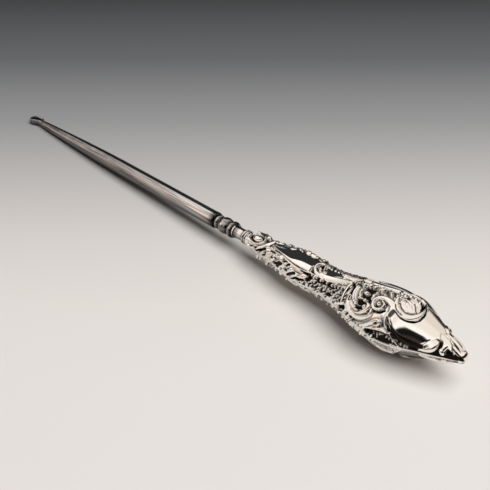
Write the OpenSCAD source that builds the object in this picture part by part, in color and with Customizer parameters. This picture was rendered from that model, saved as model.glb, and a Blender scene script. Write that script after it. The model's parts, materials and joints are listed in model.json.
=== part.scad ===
// Button hook: a polished steel hook with a turned moulding, its tang cemented into a hollow silver handle.
// The tool is drawn along X, hook at the low end, with the crest of the bolster at x = 0.
// It is then laid down so that the crook and the handle's bulb rest on z = 0. The near side is -Y.

/* [Hook and shank] */
// Length from the bolster to the end of the crook
shank_reach = 114.3; // [105:0.5:125]
// Diameter of the parallel stretch
shank_d = 5.2; // [4.8:0.1:5.6]
// Length of the parallel stretch
shank_parallel = 46; // [36:1:56]
// Diameter where the crook starts
crook_root_d = 2.7; // [2.3:0.1:3.1]
// Distance between the middles of the crook's two limbs
crook_gauge = 3.3; // [2.8:0.1:3.4]
// Thickness of the flattened crook
strip_t = 1; // [0.8:0.05:1.1]
// Height of the flattened crook
strip_h = 2.2; // [1.8:0.1:2.4]
// Length of the limb that ends in the point
point_limb = 3.2; // [2:0.2:4]

/* [Turned moulding] */
// Diameter at the bottom of the grooves
groove_d = 3.8; // [3.2:0.1:4.2]
// Diameter of the narrow ring next to the shank
ring_d = 4.5; // [4.3:0.1:4.9]
// Diameter of the long bead
bead_d = 5.3; // [4.8:0.1:5.6]
// Diameter of the bolster that meets the silver
bolster_d = 5.3; // [4.8:0.1:5.6]

/* [Ferrule] */
// Diameter of the plain silver neck
neck_d = 3.7; // [3.4:0.1:4]
// Length of the plain silver neck
neck_len = 4.2; // [3:0.1:6]
// Diameter of the double bead ring
bead_ring_d = 4.5; // [4.2:0.1:4.9]

/* [Handle] */
// Length of the stamped handle, from the bead ring to the tip
handle_len = 80.6; // [72:0.2:90]
// Width of the handle at its mouth
mouth_w = 4.3; // [4:0.1:4.6]
// Width at the shoulder
shoulder_w = 10.3; // [9:0.1:12]
// Width at the waist
waist_w = 9.7; // [8.5:0.1:11]
// Width of the bulb
bulb_w = 17.2; // [15:0.1:19]
// Depth over width of the slightly oval section
oval = 0.96; // [0.94:0.01:1]
// Turn of the handle towards its near side, against the flat of the crook
roll = 15; // [0:1:20]
// Thickness of the silver sheet
sheet = 0.5; // [0.4:0.05:0.6]
// Strength of the stamped relief
relief = 1; // [0.6:0.1:1.2]

/* [Inside] */
// Diameter of the round root of the tang
tang_d = 2.2; // [1.8:0.1:2.4]
// Length of the square taper of the tang
tang_len = 40; // [25:1:55]

/* [Hidden] */
$fn = 48;

steel = [0.58, 0.58, 0.6];
silver = [0.86, 0.85, 0.82];
solder = [0.92, 0.91, 0.88];
cement = [0.36, 0.2, 0.12];

// Moulding, measured from the crest of the bolster back towards the shank
bolster_half = 1.1;
bead_half = 2.05;
ring_half = 0.7;
groove_w = 0.25;
bead_x = -bolster_half - groove_w - bead_half;
ring_x = bead_x - bead_half - groove_w - ring_half;
shank_end = ring_x - ring_half - groove_w;
shank_round = 0.7;
round_step = 30;
lap = 0.5;
shoulder_step = 0.15;

// Taper of the shank, from the parallel stretch to the root of the crook
taper_start = shank_end - shank_parallel;
taper_curve = 1.7;
taper_steps = 10;

// Crook: a gentle bend to one side, then a turn back, drawn as a swept strip
lead_r = 11;
lead_turn = 24;
lead_straight = 2;
crook_r = crook_gauge / 2;
crook_sides = 16;
lead_steps = 6;
turn_steps = 12;
LIMB_PARTS = [0.4, 0.75, 0.92, 1];
POINT_SIZES = [0.45, 0.8];
lead_x = lead_r * sin(lead_turn) + lead_straight * cos(lead_turn);
crook_len = lead_x + crook_r * (1 + sin(lead_turn)) + strip_t / 2;
crook_start = -shank_reach + crook_len;

// Ferrule and tang
ferrule_x = bolster_half;
rim_w = 0.5;
rim_step = 0.25;
bead_ring_half = 0.5;
mouth_x = ferrule_x + neck_len + 4 * bead_ring_half;
spigot_wall = 0.4;
spigot_d = tang_d + 2 * spigot_wall;
spigot_len = 2.4;
tang_tip = 1;
tang_square = 0.62;

// Handle stations along the axis, as fractions of its length, with the widths there
tip_x = mouth_x + handle_len;
nose_len = 1.3;
nose_x = tip_x - nose_len;
nose_w = 3.6;
cap_w = 0.56 * bulb_w;
throat_w = 0.68 * shoulder_w;
neck_scroll_w = 1.32 * mouth_w;
function along_handle(part) = mouth_x + part * handle_len;
STATIONS = [
    [mouth_x, mouth_w],
    [along_handle(0.06), neck_scroll_w],
    [along_handle(0.14), throat_w],
    [along_handle(0.28), shoulder_w],
    [along_handle(0.40), waist_w],
    [along_handle(0.71), bulb_w],
    [along_handle(0.88), cap_w],
    [nose_x, nose_w],
];
cap_x = along_handle(0.88);
oval_from = along_handle(0.02);
oval_to = along_handle(0.4);

// Mesh of the stamped shells
rows = 76;
nose_rows = 5;
columns = 24;
lining_columns = 6;
core_sides = 2 * lining_columns;

// Seam between the shells: bevelled edges filled with solder, all smaller where the handle is thin
bevel_h = 0.25;
bevel_depth = 0.3;
solder_crown = 0.1;
seam_fade = 4;
most_bevel = 0.5;
most_depth = 0.2;
most_sheet = 0.4;

// How far from the seam, in degrees, and from the ends the relief rises to its full height
seam_clear = 9;
mouth_clear = 2;
tip_clear = 3;

degrees_to_arc = PI / 180;

// Faces are listed anticlockwise as seen from outside, and this turns them over
function turn_over(faces) = [for (f = faces) [for (i = [len(f) - 1 : -1 : 0]) f[i]]];
// A four-cornered face as triangles, leaving out those whose corners have run together
function real_face(f) = f[0] != f[1] && f[1] != f[2] && f[2] != f[0];
function quad(a, b, c, d) = [for (f = [[a, b, c], [a, c, d]]) if (real_face(f)) f];

// Smooth curve through the stations: no overshoot at the widest and narrowest places
function rise_over(i) = (STATIONS[i + 1][1] - STATIONS[i][1]) / (STATIONS[i + 1][0] - STATIONS[i][0]);
function slope_at(i) =
    i == 0 ? rise_over(0) :
    i == len(STATIONS) - 1 ? rise_over(i - 1) :
    rise_over(i - 1) * rise_over(i) <= 0 ? 0 :
    2 * rise_over(i - 1) * rise_over(i) / (rise_over(i - 1) + rise_over(i));
function span_of(x) = min([for (i = [0 : len(STATIONS) - 2]) if (x <= STATIONS[i + 1][0] + 0.001) i]);
function between(i, x) =
    let (length = STATIONS[i + 1][0] - STATIONS[i][0], t = (x - STATIONS[i][0]) / length)
    STATIONS[i][1] * (1 + 2 * t) * pow(1 - t, 2) + STATIONS[i + 1][1] * t * t * (3 - 2 * t)
    + length * t * (1 - t) * (slope_at(i) * (1 - t) - slope_at(i + 1) * t);
function width(x) =
    x <= nose_x ? between(span_of(x), x) :
    nose_w * sqrt(max(0, 1 - pow((x - nose_x) / nose_len, 2)));
function ease(t) = let (u = max(0, min(1, t))) u * u * (3 - 2 * u);
function oval_at(x) = 1 - (1 - oval) * ease((x - oval_from) / (oval_to - oval_from));
function half_w(x) = width(x) / 2;
function half_h(x) = half_w(x) * oval_at(x);
function mean_r(x) = sqrt(half_w(x) * half_h(x));

// Relief is drawn on the unrolled surface: distance along the handle, and arc length from its crown.
// A place is [part of the handle's length, degrees round from the top of the tool as it lies, near side negative].
function place(p) = let (x = along_handle(p[0])) [x, (p[1] + roll) * degrees_to_arc * mean_r(x)];
function path(points) = [for (p = points) place(p)];
// A spiral from the first radius and angle to the last, or an arc if the radii are equal
function spiral(centre, radii, angles) = [
    for (i = [0 : curve_steps])
        let (t = i / curve_steps, a = angles[0] + (angles[1] - angles[0]) * t)
        centre + (radii[0] + (radii[1] - radii[0]) * t) * [cos(a), sin(a)]
];
function arc(centre, radius, angles) = spiral(centre, [radius, radius], angles);
function to_segment(p, a, b) =
    let (d = b - a, t = max(0, min(1, ((p - a) * d) / (d * d))))
    norm(p - a - t * d);
function to_path(p, points) = min([for (i = [1 : len(points) - 1]) to_segment(p, points[i - 1], points[i])]);
function ridge(p, points, half, rise) = rise * max(0, 1 - pow(to_path(p, points) / half, 2));
function dome(p, centre, size, rise) =
    let (d = [(p[0] - centre[0]) / size[0], (p[1] - centre[1]) / size[1]])
    rise * max(0, 1 - d * d);
// A roof along a crest line: a level top on its near side, then a long far slope and a short near one
function roof(p, crest, top, rise) =
    let (
        off = p[1] - lookup(p[0], crest),
        ends = min(p[0] - crest[0][0], crest[len(crest) - 1][0] - p[0]) / roof_end,
        fall = off > 0 ? off / far_slope : max(0, -off - top) / near_slope
    )
    rise * max(0, min(1, ends)) * max(0, 1 - fall);
// The pear-shaped boss: flatter than the bulb it stands on, so it leans up towards the neck and the near side
function pear(p) =
    let (d = p - pear_place, q = norm([d[0] / pear_size[0], d[1] / pear_size[1]]))
    q >= 1 ? 0 : (pear_rise - pear_lean * d) * sqrt(1 - pow(q, 4));

// Rococo ornament of the die: scrolls, smooth panels, knots of flowers and a leaf cap.
// Each scroll or leaf rib is its middle line, half width and height.
curve_steps = 14;
medallion = arc(place([0.775, -7]), 3.65, [-160, 85]);
volute = spiral(place([0.69, -35]), [2.1, 0.6], [60, 450]);
volute_stem = path([[0.703, -22], [0.732, -25], [0.741, -32], [0.733, -39], [0.733, -55], [0.759, -69]]);
bulb_scroll = arc(place([0.623, -49]), 4.2, [-200, 20]);
bulb_tail = path([[0.598, -91], [0.634, -88], [0.669, -81], [0.702, -65], [0.722, -63]]);
crescent = path([[0.702, -79], [0.728, -74], [0.758, -73]]);
bulb_collar = path([[0.56, 3], [0.545, -24], [0.553, -50], [0.54, -96]]);
neck_scroll = path([[0.135, 10], [0.14, -14], [0.11, -45], [0.06, -70], [0.02, -66]]);
arch_scroll = arc(place([0.387, -16]), 1.4, [-20, 230]);
far_leaf = path([[0.473, 2], [0.52, 2], [0.577, 1]]);
SCROLLS = [
    [medallion, 1, 1.1],
    [volute, 0.8, 0.95],
    [volute_stem, 0.9, 0.8],
    [bulb_scroll, 1, 0.8],
    [bulb_tail, 0.9, 0.9],
    [crescent, 0.8, 0.75],
    [bulb_collar, 0.8, 0.7],
    [neck_scroll, 0.9, 0.7],
    [arch_scroll, 0.8, 1],
    [far_leaf, 0.9, 0.4],
];

flower_r = 1.3;
flower_rise = 0.5;
band_flowers = 9;
band_from = 0.19;
band_step = 0.04;
// Two staggered rows of flowers along the near side of the grip
NEAR_BAND = [
    for (i = [0 : band_flowers - 1]) place([band_from + band_step * i, i % 2 == 0 ? -62 : -82])
];
FLOWERS = concat(NEAR_BAND, path([[0.605, -26], [0.615, -54], [0.655, -3], [0.7, -2], [0.765, -8]]));

oval_place = place([0.06, -17]);
oval_size = [1.9, 1.2];
oval_rise = 0.7;
pear_place = place([0.815, -21]);
pear_size = [7.4, 6.9];
pear_rise = 0.6;
pear_lean = [0.06, 0.11];

// Crests of the faceted panel of the grip and of the long leaf that follows it
far_slope = 2.4;
near_slope = 0.6;
roof_end = 1.2;
PANEL_CREST = path([[0.155, -21], [0.207, -34], [0.267, -39], [0.319, -31], [0.366, -29]]);
panel_top = 0.8;
panel_rise = 1.1;
LEAF_CREST = path([[0.396, -31], [0.449, -29], [0.511, -21], [0.56, -17]]);
leaf_top = 0.8;
leaf_rise = 1;

cap_leaves = 5;
cap_rise = 0.5;

// Lowered grounds: the far sides of the grip and bulb, and the foliage under the pear
sink_depth = 0.25;
level_rise = 0.3;
grip_far = place([0.36, 11]);
grip_far_size = [19, 4.2];
bulb_far = place([0.703, 30]);
bulb_far_size = [11, 4.5];
foliage = path([[0.679, -96], [0.728, -90], [0.778, -88], [0.828, -84], [0.871, -79]]);
foliage_half = 2.4;

function scrolls(p) = max([for (s = SCROLLS) ridge(p, s[0], s[1], s[2])]);
function flowers(p) = max([for (c = FLOWERS) dome(p, c, [flower_r, flower_r], flower_rise)]);
function panels(p) = max(
    dome(p, oval_place, oval_size, oval_rise),
    pear(p),
    roof(p, PANEL_CREST, panel_top, panel_rise),
    roof(p, LEAF_CREST, leaf_top, leaf_rise)
);
function ground(p) = -max(
    dome(p, grip_far, grip_far_size, sink_depth),
    dome(p, bulb_far, bulb_far_size, sink_depth),
    ridge(p, foliage, foliage_half, sink_depth)
);
function leaf_cap(x, turn) =
    let (t = max(0, min(1, (x - cap_x) / (nose_x - cap_x))))
    x < cap_x ? 0 : cap_rise * (1 - t) * abs(cos(turn * cap_leaves));
function edge_fade(x, turn) =
    ease((90 - abs(turn)) / seam_clear) * ease((x - mouth_x) / mouth_clear) * ease((tip_x - x) / tip_clear);
function relief_at(x, turn) =
    let (p = [x, turn * degrees_to_arc * mean_r(x)])
    let (raised = max(scrolls(p), flowers(p), panels(p), leaf_cap(x, turn)))
    relief * edge_fade(x, turn) * (raised + ground(p) * max(0, 1 - raised / level_rise));

// Rows of the shells along the handle, closer together on the round nose
ROW_X = concat(
    [for (i = [0 : rows - nose_rows]) mouth_x + (nose_x - mouth_x) * i / (rows - nose_rows)],
    [for (i = [1 : nose_rows]) nose_x + nose_len * sin(90 * i / nose_rows)]
);

SEAM_X = [for (x = ROW_X) if (x < nose_x - 0.01) x];

// Stamped shells, drawn as the upper one: outside, lining and seam
function bevel_at(x) = min(bevel_h, most_bevel * half_h(x)) * ease((nose_x - x) / seam_fade);
function edge_turn(x) = half_h(x) <= 0 ? 90 : acos(min(1, bevel_at(x) / half_h(x)));
function seam_line(x) = half_w(x) - min(bevel_depth, most_depth * half_w(x)) * ease((nose_x - x) / seam_fade);
function skin(x, turn) =
    let (h = relief_at(x, turn))
    [x, (half_w(x) + h) * sin(turn), (half_h(x) + h) * cos(turn)];
function lining_gap(x) = min(sheet, most_sheet * half_w(x));
function lining_x(x) = mouth_x + (x - mouth_x) * (1 - sheet / handle_len);
function lining(x, turn) =
    let (w = half_w(x) - lining_gap(x), h = half_h(x) - lining_gap(x) * oval_at(x))
    [lining_x(x), w * sin(turn), h * cos(turn)];
OUTSIDE = [
    for (i = [0 : len(ROW_X) - 2], j = [0 : columns])
        skin(ROW_X[i], edge_turn(ROW_X[i]) * (2 * j / columns - 1))
];

// How the tool lies: the slope from under the crook to the lowest place under the handle, and the middle of its width
crook_under = [-shank_reach + strip_t, -strip_h / 2];
rest_slope = min([
    for (p = OUTSIDE) (p[1] * sin(roll) - p[2] * cos(roll) - crook_under[1]) / (p[0] - crook_under[0])
]);
lie_angle = -atan(rest_slope);
lift = -crook_under[0] * sin(lie_angle) - crook_under[1] * cos(lie_angle);
middle_x = ((tip_x - shank_reach) * cos(lie_angle) - strip_h / 2 * sin(lie_angle)) / 2;
near_y = min([for (p = OUTSIDE) p[1] * cos(roll) - p[2] * sin(roll)]);
far_y = max([for (p = OUTSIDE) p[1] * cos(roll) + p[2] * sin(roll)]);
middle_y = (near_y + far_y) / 2;

module lie_down() {
    translate([-middle_x, -middle_y, lift]) rotate([0, -lie_angle, 0]) children();
}

module rolled() {
    rotate([roll, 0, 0]) children();
}

// Turns a profile drawn as [radius, place along the axis] about the tool's axis
module turned() {
    rotate([0, 90, 0]) rotate_extrude() children();
}

// Round ring, bead or bolster that rises from the groove, drawn as [radius, place along the axis]
module round_edge(x, half, d) {
    bulge = (d - groove_d) / 2;
    radius = (half * half + bulge * bulge) / (2 * bulge);
    translate([d / 2 - radius, x]) circle(radius);
}

module shank_profile() {
    r = shank_d / 2;
    root = crook_root_d / 2;
    taper_len = taper_start - crook_start;
    polygon(concat(
        [[0, crook_start], [root, crook_start]],
        [
            for (i = [1 : taper_steps])
                let (t = 1 - i / taper_steps)
                [root + (r - root) * (1 - pow(t, taper_curve)), taper_start - taper_len * t]
        ],
        [for (a = [0 : round_step : 90]) [r, shank_end] + shank_round * [cos(a) - 1, sin(a) - 1]],
        [[0, shank_end]]
    ));
}

module moulding_profile() {
    from = shank_end - lap;
    intersection() {
        translate([0, from]) square([shank_d, bolster_half - from]);
        union() {
            translate([0, from]) square([groove_d / 2, bolster_half - from + lap]);
            round_edge(ring_x, ring_half, ring_d);
            round_edge(bead_x, bead_half, bead_d);
            round_edge(0, bolster_half + shoulder_step, bolster_d);
        }
    }
}

// Square taper of the tang, cut from two wedges
module tang_taper() {
    root = tang_square * tang_d;
    wedge = [
        [mouth_x, -root / 2],
        [mouth_x + tang_len, -tang_tip / 2],
        [mouth_x + tang_len, tang_tip / 2],
        [mouth_x, root / 2],
    ];
    intersection() {
        linear_extrude(height = 2 * tang_d, center = true) polygon(wedge);
        rotate([90, 0, 0]) linear_extrude(height = 2 * tang_d, center = true) polygon(wedge);
    }
}

module tang() {
    translate([bolster_half - lap, 0, 0]) rotate([0, 90, 0]) cylinder(d = tang_d, h = mouth_x - bolster_half + 2 * lap);
    tang_taper();
}

// Middle line of the crook in plan: [x, y, heading], walked from its root to its point
LEAD = [for (i = [1 : lead_steps]) let (a = lead_turn * i / lead_steps)
    [crook_start - lead_r * sin(a), -lead_r * (1 - cos(a)), 180 + a]];
turn_start = LEAD[lead_steps - 1] + [-lead_straight * cos(lead_turn), -lead_straight * sin(lead_turn), 0];
turn_centre = [
    turn_start[0] - crook_r * sin(lead_turn),
    turn_start[1] + crook_r * cos(lead_turn),
];
TURN = [for (i = [0 : turn_steps]) let (a = 270 + lead_turn - (180 + lead_turn) * i / turn_steps)
    [turn_centre[0] + crook_r * cos(a), turn_centre[1] + crook_r * sin(a), a - 90]];
turn_end = TURN[turn_steps];
LIMB = [for (t = LIMB_PARTS) turn_end + [point_limb * t, 0, 0]];
ROOT = [[crook_start, 0, 180]];
CROOK = concat(ROOT, LEAD, TURN, LIMB);

// Half sizes of the crook's section: round at the root, flattened by the end of the lead, blunt at the point
function flattened(i) = ease(i / lead_steps);
function blunt(i) = let (left = len(CROOK) - 1 - i) left < len(POINT_SIZES) ? POINT_SIZES[left] : 1;
function crook_half(i) =
    let (root = crook_root_d / 2, f = flattened(i))
    blunt(i) * [root + (strip_t / 2 - root) * f, root + (strip_h / 2 - root) * f];

module crook_strip() {
    last = len(CROOK) - 1;
    points = [
        for (i = [0 : last], j = [0 : crook_sides - 1])
            let (c = CROOK[i], h = crook_half(i), a = 360 * j / crook_sides)
            [c[0] - h[0] * cos(a) * sin(c[2]), c[1] + h[0] * cos(a) * cos(c[2]), h[1] * sin(a)]
    ];
    sides = [
        for (i = [0 : last - 1], j = [0 : crook_sides - 1])
            let (k = (j + 1) % crook_sides, a = i * crook_sides, b = a + crook_sides)
            each quad(a + j, a + k, b + k, b + j)
    ];
    root_face = [for (j = [crook_sides - 1 : -1 : 0]) j];
    point_face = [for (j = [0 : crook_sides - 1]) last * crook_sides + j];
    polyhedron(points, turn_over(concat(sides, [root_face, point_face])), convexity = 6);
}

module shank() {
    color(steel) lie_down() {
        turned() {
            shank_profile();
            moulding_profile();
        }
        tang();
    }
}

// The crook is forged in one with the shank, and is a solid of its own that meets it face to face
module crook() {
    color(steel) lie_down() crook_strip();
}

module ferrule_profile() {
    bore = tang_d / 2;
    ring_core = bead_ring_d / 2 - bead_ring_half;
    difference() {
        union() {
            translate([0, ferrule_x]) square([neck_d / 2, neck_len + lap]);
            translate([0, ferrule_x]) square([neck_d / 2 + rim_step, rim_w]);
            translate([0, mouth_x - 4 * bead_ring_half]) square([ring_core, 4 * bead_ring_half]);
            for (i = [1, 3]) translate([ring_core, mouth_x - i * bead_ring_half]) circle(bead_ring_half);
            translate([0, mouth_x - lap]) square([spigot_d / 2, spigot_len + lap]);
        }
        translate([-lap, 0]) square([lap + bore, 2 * mouth_x]);
    }
}

module ferrule() {
    color(silver) lie_down() turned() ferrule_profile();
}

// A stamped shell, drawn as the upper one: outside, lining, bevelled seam edges and the ring at the mouth
module shell() {
    last = len(ROW_X) - 1;
    bevel_rows = len(SEAM_X) - 1;
    outer_n = columns + 1;
    inner_n = lining_columns + 1;
    inner = [
        for (i = [0 : last - 1], j = [0 : lining_columns])
            lining(ROW_X[i], 180 * j / lining_columns - 90)
    ];
    seams = [for (x = SEAM_X, side = [-1, 1]) [x, side * seam_line(x), 0]];
    inner_from = len(OUTSIDE);
    seams_from = inner_from + len(inner);
    outer_tip = seams_from + len(seams);
    inner_tip = outer_tip + 1;
    function out(i, j) = i == last ? outer_tip : i * outer_n + j;
    function inn(i, j) = i == last ? inner_tip : inner_from + i * inner_n + j;
    function near(i) = i > bevel_rows ? out(i, 0) : seams_from + 2 * i;
    function far(i) = i > bevel_rows ? out(i, columns) : seams_from + 2 * i + 1;
    outer_faces = [
        for (i = [0 : last - 1], j = [0 : columns - 1])
            each quad(out(i, j), out(i + 1, j), out(i + 1, j + 1), out(i, j + 1))
    ];
    inner_faces = [
        for (i = [0 : last - 1], j = [0 : lining_columns - 1])
            each quad(inn(i, j), inn(i, j + 1), inn(i + 1, j + 1), inn(i + 1, j))
    ];
    edge_faces = [
        for (i = [0 : last - 1])
            let (l = lining_columns, c = columns)
            each concat(
                quad(out(i, 0), near(i), near(i + 1), out(i + 1, 0)),
                quad(near(i), inn(i, 0), inn(i + 1, 0), near(i + 1)),
                quad(out(i, c), out(i + 1, c), far(i + 1), far(i)),
                quad(far(i), far(i + 1), inn(i + 1, l), inn(i, l))
            )
    ];
    step = columns / lining_columns;
    mouth_faces = concat(
        [for (j = [0 : columns - 1]) [out(0, j), out(0, j + 1), inn(0, floor(j / step + 0.5))]],
        [for (k = [0 : lining_columns - 1]) [inn(0, k + 1), inn(0, k), out(0, step * (k + 0.5))]],
        [[inn(0, 0), near(0), out(0, 0)], [out(0, columns), far(0), inn(0, lining_columns)]]
    );
    polyhedron(
        concat(OUTSIDE, inner, seams, [[tip_x, 0, 0], [lining_x(tip_x), 0, 0]]),
        turn_over(concat(outer_faces, inner_faces, edge_faces, mouth_faces)),
        convexity = 8
    );
}

module front_shell() {
    color(silver) lie_down() rolled() shell();
}

module back_shell() {
    color(silver) lie_down() rolled() mirror([0, 0, 1]) shell();
}

// Fillets of solder that fill the bevelled seam and stand a little proud of it
function seam_section(x, side) =
    let (turn = edge_turn(x), edge = half_w(x) * sin(turn), b = bevel_at(x))
    [
        [x, side * edge, b],
        [x, side * seam_line(x), 0],
        [x, side * edge, -b],
        [x, side * (half_w(x) + solder_crown * ease((nose_x - x) / seam_fade)), 0],
    ];

module seam(side) {
    last = len(SEAM_X) - 1;
    points = [for (x = SEAM_X) each seam_section(x, side)];
    sides = [
        for (i = [0 : last - 1], j = [0 : 3])
            let (a = 4 * i, b = a + 4, k = (j + 1) % 4)
            each quad(a + j, a + k, b + k, b + j)
    ];
    ends = [[3, 2, 1, 0], [4 * last, 4 * last + 1, 4 * last + 2, 4 * last + 3]];
    faces = concat(sides, ends);
    polyhedron(points, side > 0 ? turn_over(faces) : faces, convexity = 4);
}

module seam_solder() {
    color(solder) lie_down() rolled() {
        seam(1);
        seam(-1);
    }
}

// Hard cement that fills the shells and grips the tang
module core_body() {
    last = len(ROW_X) - 1;
    function at(i, j) = i == last ? last * core_sides : i * core_sides + j % core_sides;
    points = concat(
        [for (i = [0 : last - 1], j = [0 : core_sides - 1]) lining(ROW_X[i], 360 * j / core_sides - 90)],
        [[lining_x(tip_x), 0, 0]]
    );
    sides = [
        for (i = [0 : last - 1], j = [0 : core_sides - 1])
            each quad(at(i, j), at(i + 1, j), at(i + 1, j + 1), at(i, j + 1))
    ];
    mouth = [for (j = [0 : core_sides - 1]) at(0, j)];
    polyhedron(points, turn_over(concat(sides, [mouth])), convexity = 6);
}

module cement_core() {
    color(cement) lie_down() difference() {
        rolled() core_body();
        translate([mouth_x - lap, 0, 0]) rotate([0, 90, 0]) cylinder(d = spigot_d, h = lap + spigot_len);
        tang();
    }
}

shank();
crook();
ferrule();
front_shell();
back_shell();
seam_solder();
cement_core();
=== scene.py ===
"""Looks of the button hook: stamped silver handle, polished steel hook, and a plain studio."""
import json
import math

import bpy
import numpy as np
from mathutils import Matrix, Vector


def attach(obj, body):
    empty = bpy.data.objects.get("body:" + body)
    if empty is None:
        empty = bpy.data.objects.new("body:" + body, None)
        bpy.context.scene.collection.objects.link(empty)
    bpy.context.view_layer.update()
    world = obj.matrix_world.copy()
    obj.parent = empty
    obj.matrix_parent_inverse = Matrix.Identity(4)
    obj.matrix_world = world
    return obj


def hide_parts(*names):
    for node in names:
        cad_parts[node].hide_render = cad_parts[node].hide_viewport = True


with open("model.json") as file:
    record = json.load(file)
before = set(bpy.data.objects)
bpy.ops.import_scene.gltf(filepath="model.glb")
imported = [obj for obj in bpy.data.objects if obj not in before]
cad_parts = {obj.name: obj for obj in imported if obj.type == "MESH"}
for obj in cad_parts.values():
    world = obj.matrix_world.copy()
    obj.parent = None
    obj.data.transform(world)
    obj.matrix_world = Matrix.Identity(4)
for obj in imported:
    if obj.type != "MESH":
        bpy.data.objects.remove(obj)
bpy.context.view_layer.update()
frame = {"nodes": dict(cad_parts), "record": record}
MM = 0.001
TINY = 1e-6

# The tool's own frame, in millimetres: x along the axis from the bolster's crest to the tip, z to the front
GRIP_BEHIND_BOLSTER = 30.7
ROLL = math.radians(15)
grip = next(m for m in frame["record"]["mounts"] if m["name"] == "shank_grip")
AXIS = -np.array(grip["axis"])
UP = np.cross(AXIS, (0, 1, 0))
SIDE = np.array([0, math.cos(ROLL), 0]) + math.sin(ROLL) * UP
FRONT = math.cos(ROLL) * UP - np.array([0, math.sin(ROLL), 0])
BOLSTER = np.array(grip["pos_m"]) / MM + GRIP_BEHIND_BOLSTER * AXIS


def to_row(points):
    """Takes points of the tool's frame, in millimetres, to the row's frame, in metres."""
    return (BOLSTER + points[..., :1] * AXIS + points[..., 1:2] * SIDE + points[..., 2:] * FRONT) * MM


# Handle: sizes along and across, in millimetres
MOUTH_X = 7.3
HANDLE_LEN = 80.6
NOSE_LEN = 1.3
TIP_X = MOUTH_X + HANDLE_LEN
NOSE_X = TIP_X - NOSE_LEN
STATION_SHARES = (0, 0.06, 0.14, 0.28, 0.40, 0.71, 0.88)
STATION_X = np.array([MOUTH_X + share * HANDLE_LEN for share in STATION_SHARES] + [NOSE_X])
STATION_W = np.array([4.3, 5.68, 7.0, 10.3, 9.7, 17.2, 9.63, 3.6])
OVAL = 0.96
OVAL_FROM = MOUTH_X + 0.02 * HANDLE_LEN
OVAL_TO = MOUTH_X + 0.4 * HANDLE_LEN
SHEET = 0.5
BEVEL_H = 0.25
BEVEL_DEPTH = 0.3
SEAM_FADE = 4.0

# Towards the tip the sheet and the seam's bevel take no more than these shares of the handle's half sizes
SHEET_SHARE = 0.4
BEVEL_H_SHARE = 0.5
BEVEL_DEPTH_SHARE = 0.2

# Mesh of a shell: its rows and columns, how far round the nose it goes, and how the handle's slope is taken
ROWS = 500
NOSE_ROWS = 16
NOSE_END = math.radians(89)
COLUMNS = 176
LINING_COLUMNS = 4
SLOPE_STEP = 0.01
STEEPEST = 1.5

# Ornament, in millimetres: how far its middle line stands off the crown, its cuts and its lowest level
ORNAMENT_SHIFT = 0.35
CUT_DEPTH = 0.8
LOWEST = -0.42

# Forms on the far side end just below the plain surface: the factor for their rise
FAR_STRENGTH = -0.1

# Tarnish: how high a form clears it, and the grid steps and depths over which a hollow gathers it
STAIN_RISE = 0.55
HOLLOW_REACH = 4
HOLLOW_START = 0.08
HOLLOW_DEPTH = 0.4

# Where the ornament dies out: degrees from the seam, and millimetres from the mouth and the tip
RELIEF_FADE = 5.0
SUNK_FADE = 14.0
MOUTH_FADE = 1.0
TIP_FADE = 1.2

# On each shell: how far the boss reaches towards the near seam, and the fade of the raised work
FRONT_BOSS = 6.9, RELIEF_FADE
BACK_BOSS = 5.4, 75.0


def ease(t):
    t = np.clip(t, 0, 1)
    return t * t * (3 - 2 * t)


def station_slopes():
    """Slopes of a smooth curve through the stations that doesn't overshoot."""
    rise = np.diff(STATION_W) / np.diff(STATION_X)
    before, after = rise[:-1], rise[1:]
    turning = before * after <= 0
    middle = np.where(turning, 0, 2 * before * after / np.where(turning, 1, before + after))
    return np.concatenate([rise[:1], middle, rise[-1:]])


STATION_SLOPE = station_slopes()


def half_width(x):
    """Half the handle's width: a smooth curve through the stations, closed by a round nose."""
    i = np.clip(np.searchsorted(STATION_X, x) - 1, 0, len(STATION_X) - 2)
    length = STATION_X[i + 1] - STATION_X[i]
    t = (np.minimum(x, NOSE_X) - STATION_X[i]) / length
    body = (
        STATION_W[i] * (1 + 2 * t) * (1 - t) ** 2
        + STATION_W[i + 1] * t * t * (3 - 2 * t)
        + length * t * (1 - t) * (STATION_SLOPE[i] * (1 - t) - STATION_SLOPE[i + 1] * t)
    )
    nose = np.sqrt(np.clip(1 - (np.maximum(x - NOSE_X, 0) / NOSE_LEN) ** 2, 0, 1))
    return body * nose / 2


def oval_at(x):
    """The handle's depth as a share of its width: round at the mouth, flatter from the waist on."""
    return 1 - (1 - OVAL) * ease((x - OVAL_FROM) / (OVAL_TO - OVAL_FROM))


def half_height(x):
    return half_width(x) * oval_at(x)


def mean_radius(x):
    return np.sqrt(half_width(x) * half_height(x))


def spline(points, steps=8):
    """A smooth curve through the points."""
    p = np.array([2 * points[0] - points[1], *points, 2 * points[-1] - points[-2]])
    t = np.arange(steps)[:, None] / steps
    spans = []
    for before, start, stop, after in zip(p, p[1:], p[2:], p[3:]):
        slope = stop - before
        bend = 2 * before - 5 * start + 4 * stop - after
        twist = 3 * start - 3 * stop + after - before
        spans.append(0.5 * (2 * start + slope * t + bend * t**2 + twist * t**3))
    return np.concatenate([*spans, p[-2:-1]])


def blurred(values, reach):
    """Values averaged over a square of the grid."""
    span = 2 * reach + 1
    for axis in (0, 1):
        edge = [(reach, reach) if k == axis else (0, 0) for k in (0, 1)]
        total = np.cumsum(np.pad(values, edge, mode="edge"), axis=axis)
        total = np.insert(total, 0, 0, axis=axis)
        high = np.take(total, range(span, total.shape[axis]), axis=axis)
        low = np.take(total, range(0, total.shape[axis] - span), axis=axis)
        values = (high - low) / span
    return values


# Cross sections of a form: q runs from 0 in its middle to 1 at its edge
SOFT_EDGE = 0.3


def rounded(q):
    return np.sqrt(np.clip(1 - q * q, 0, 1))


def button(q):
    return np.sqrt(np.clip(1 - q**4, 0, 1))


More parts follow.
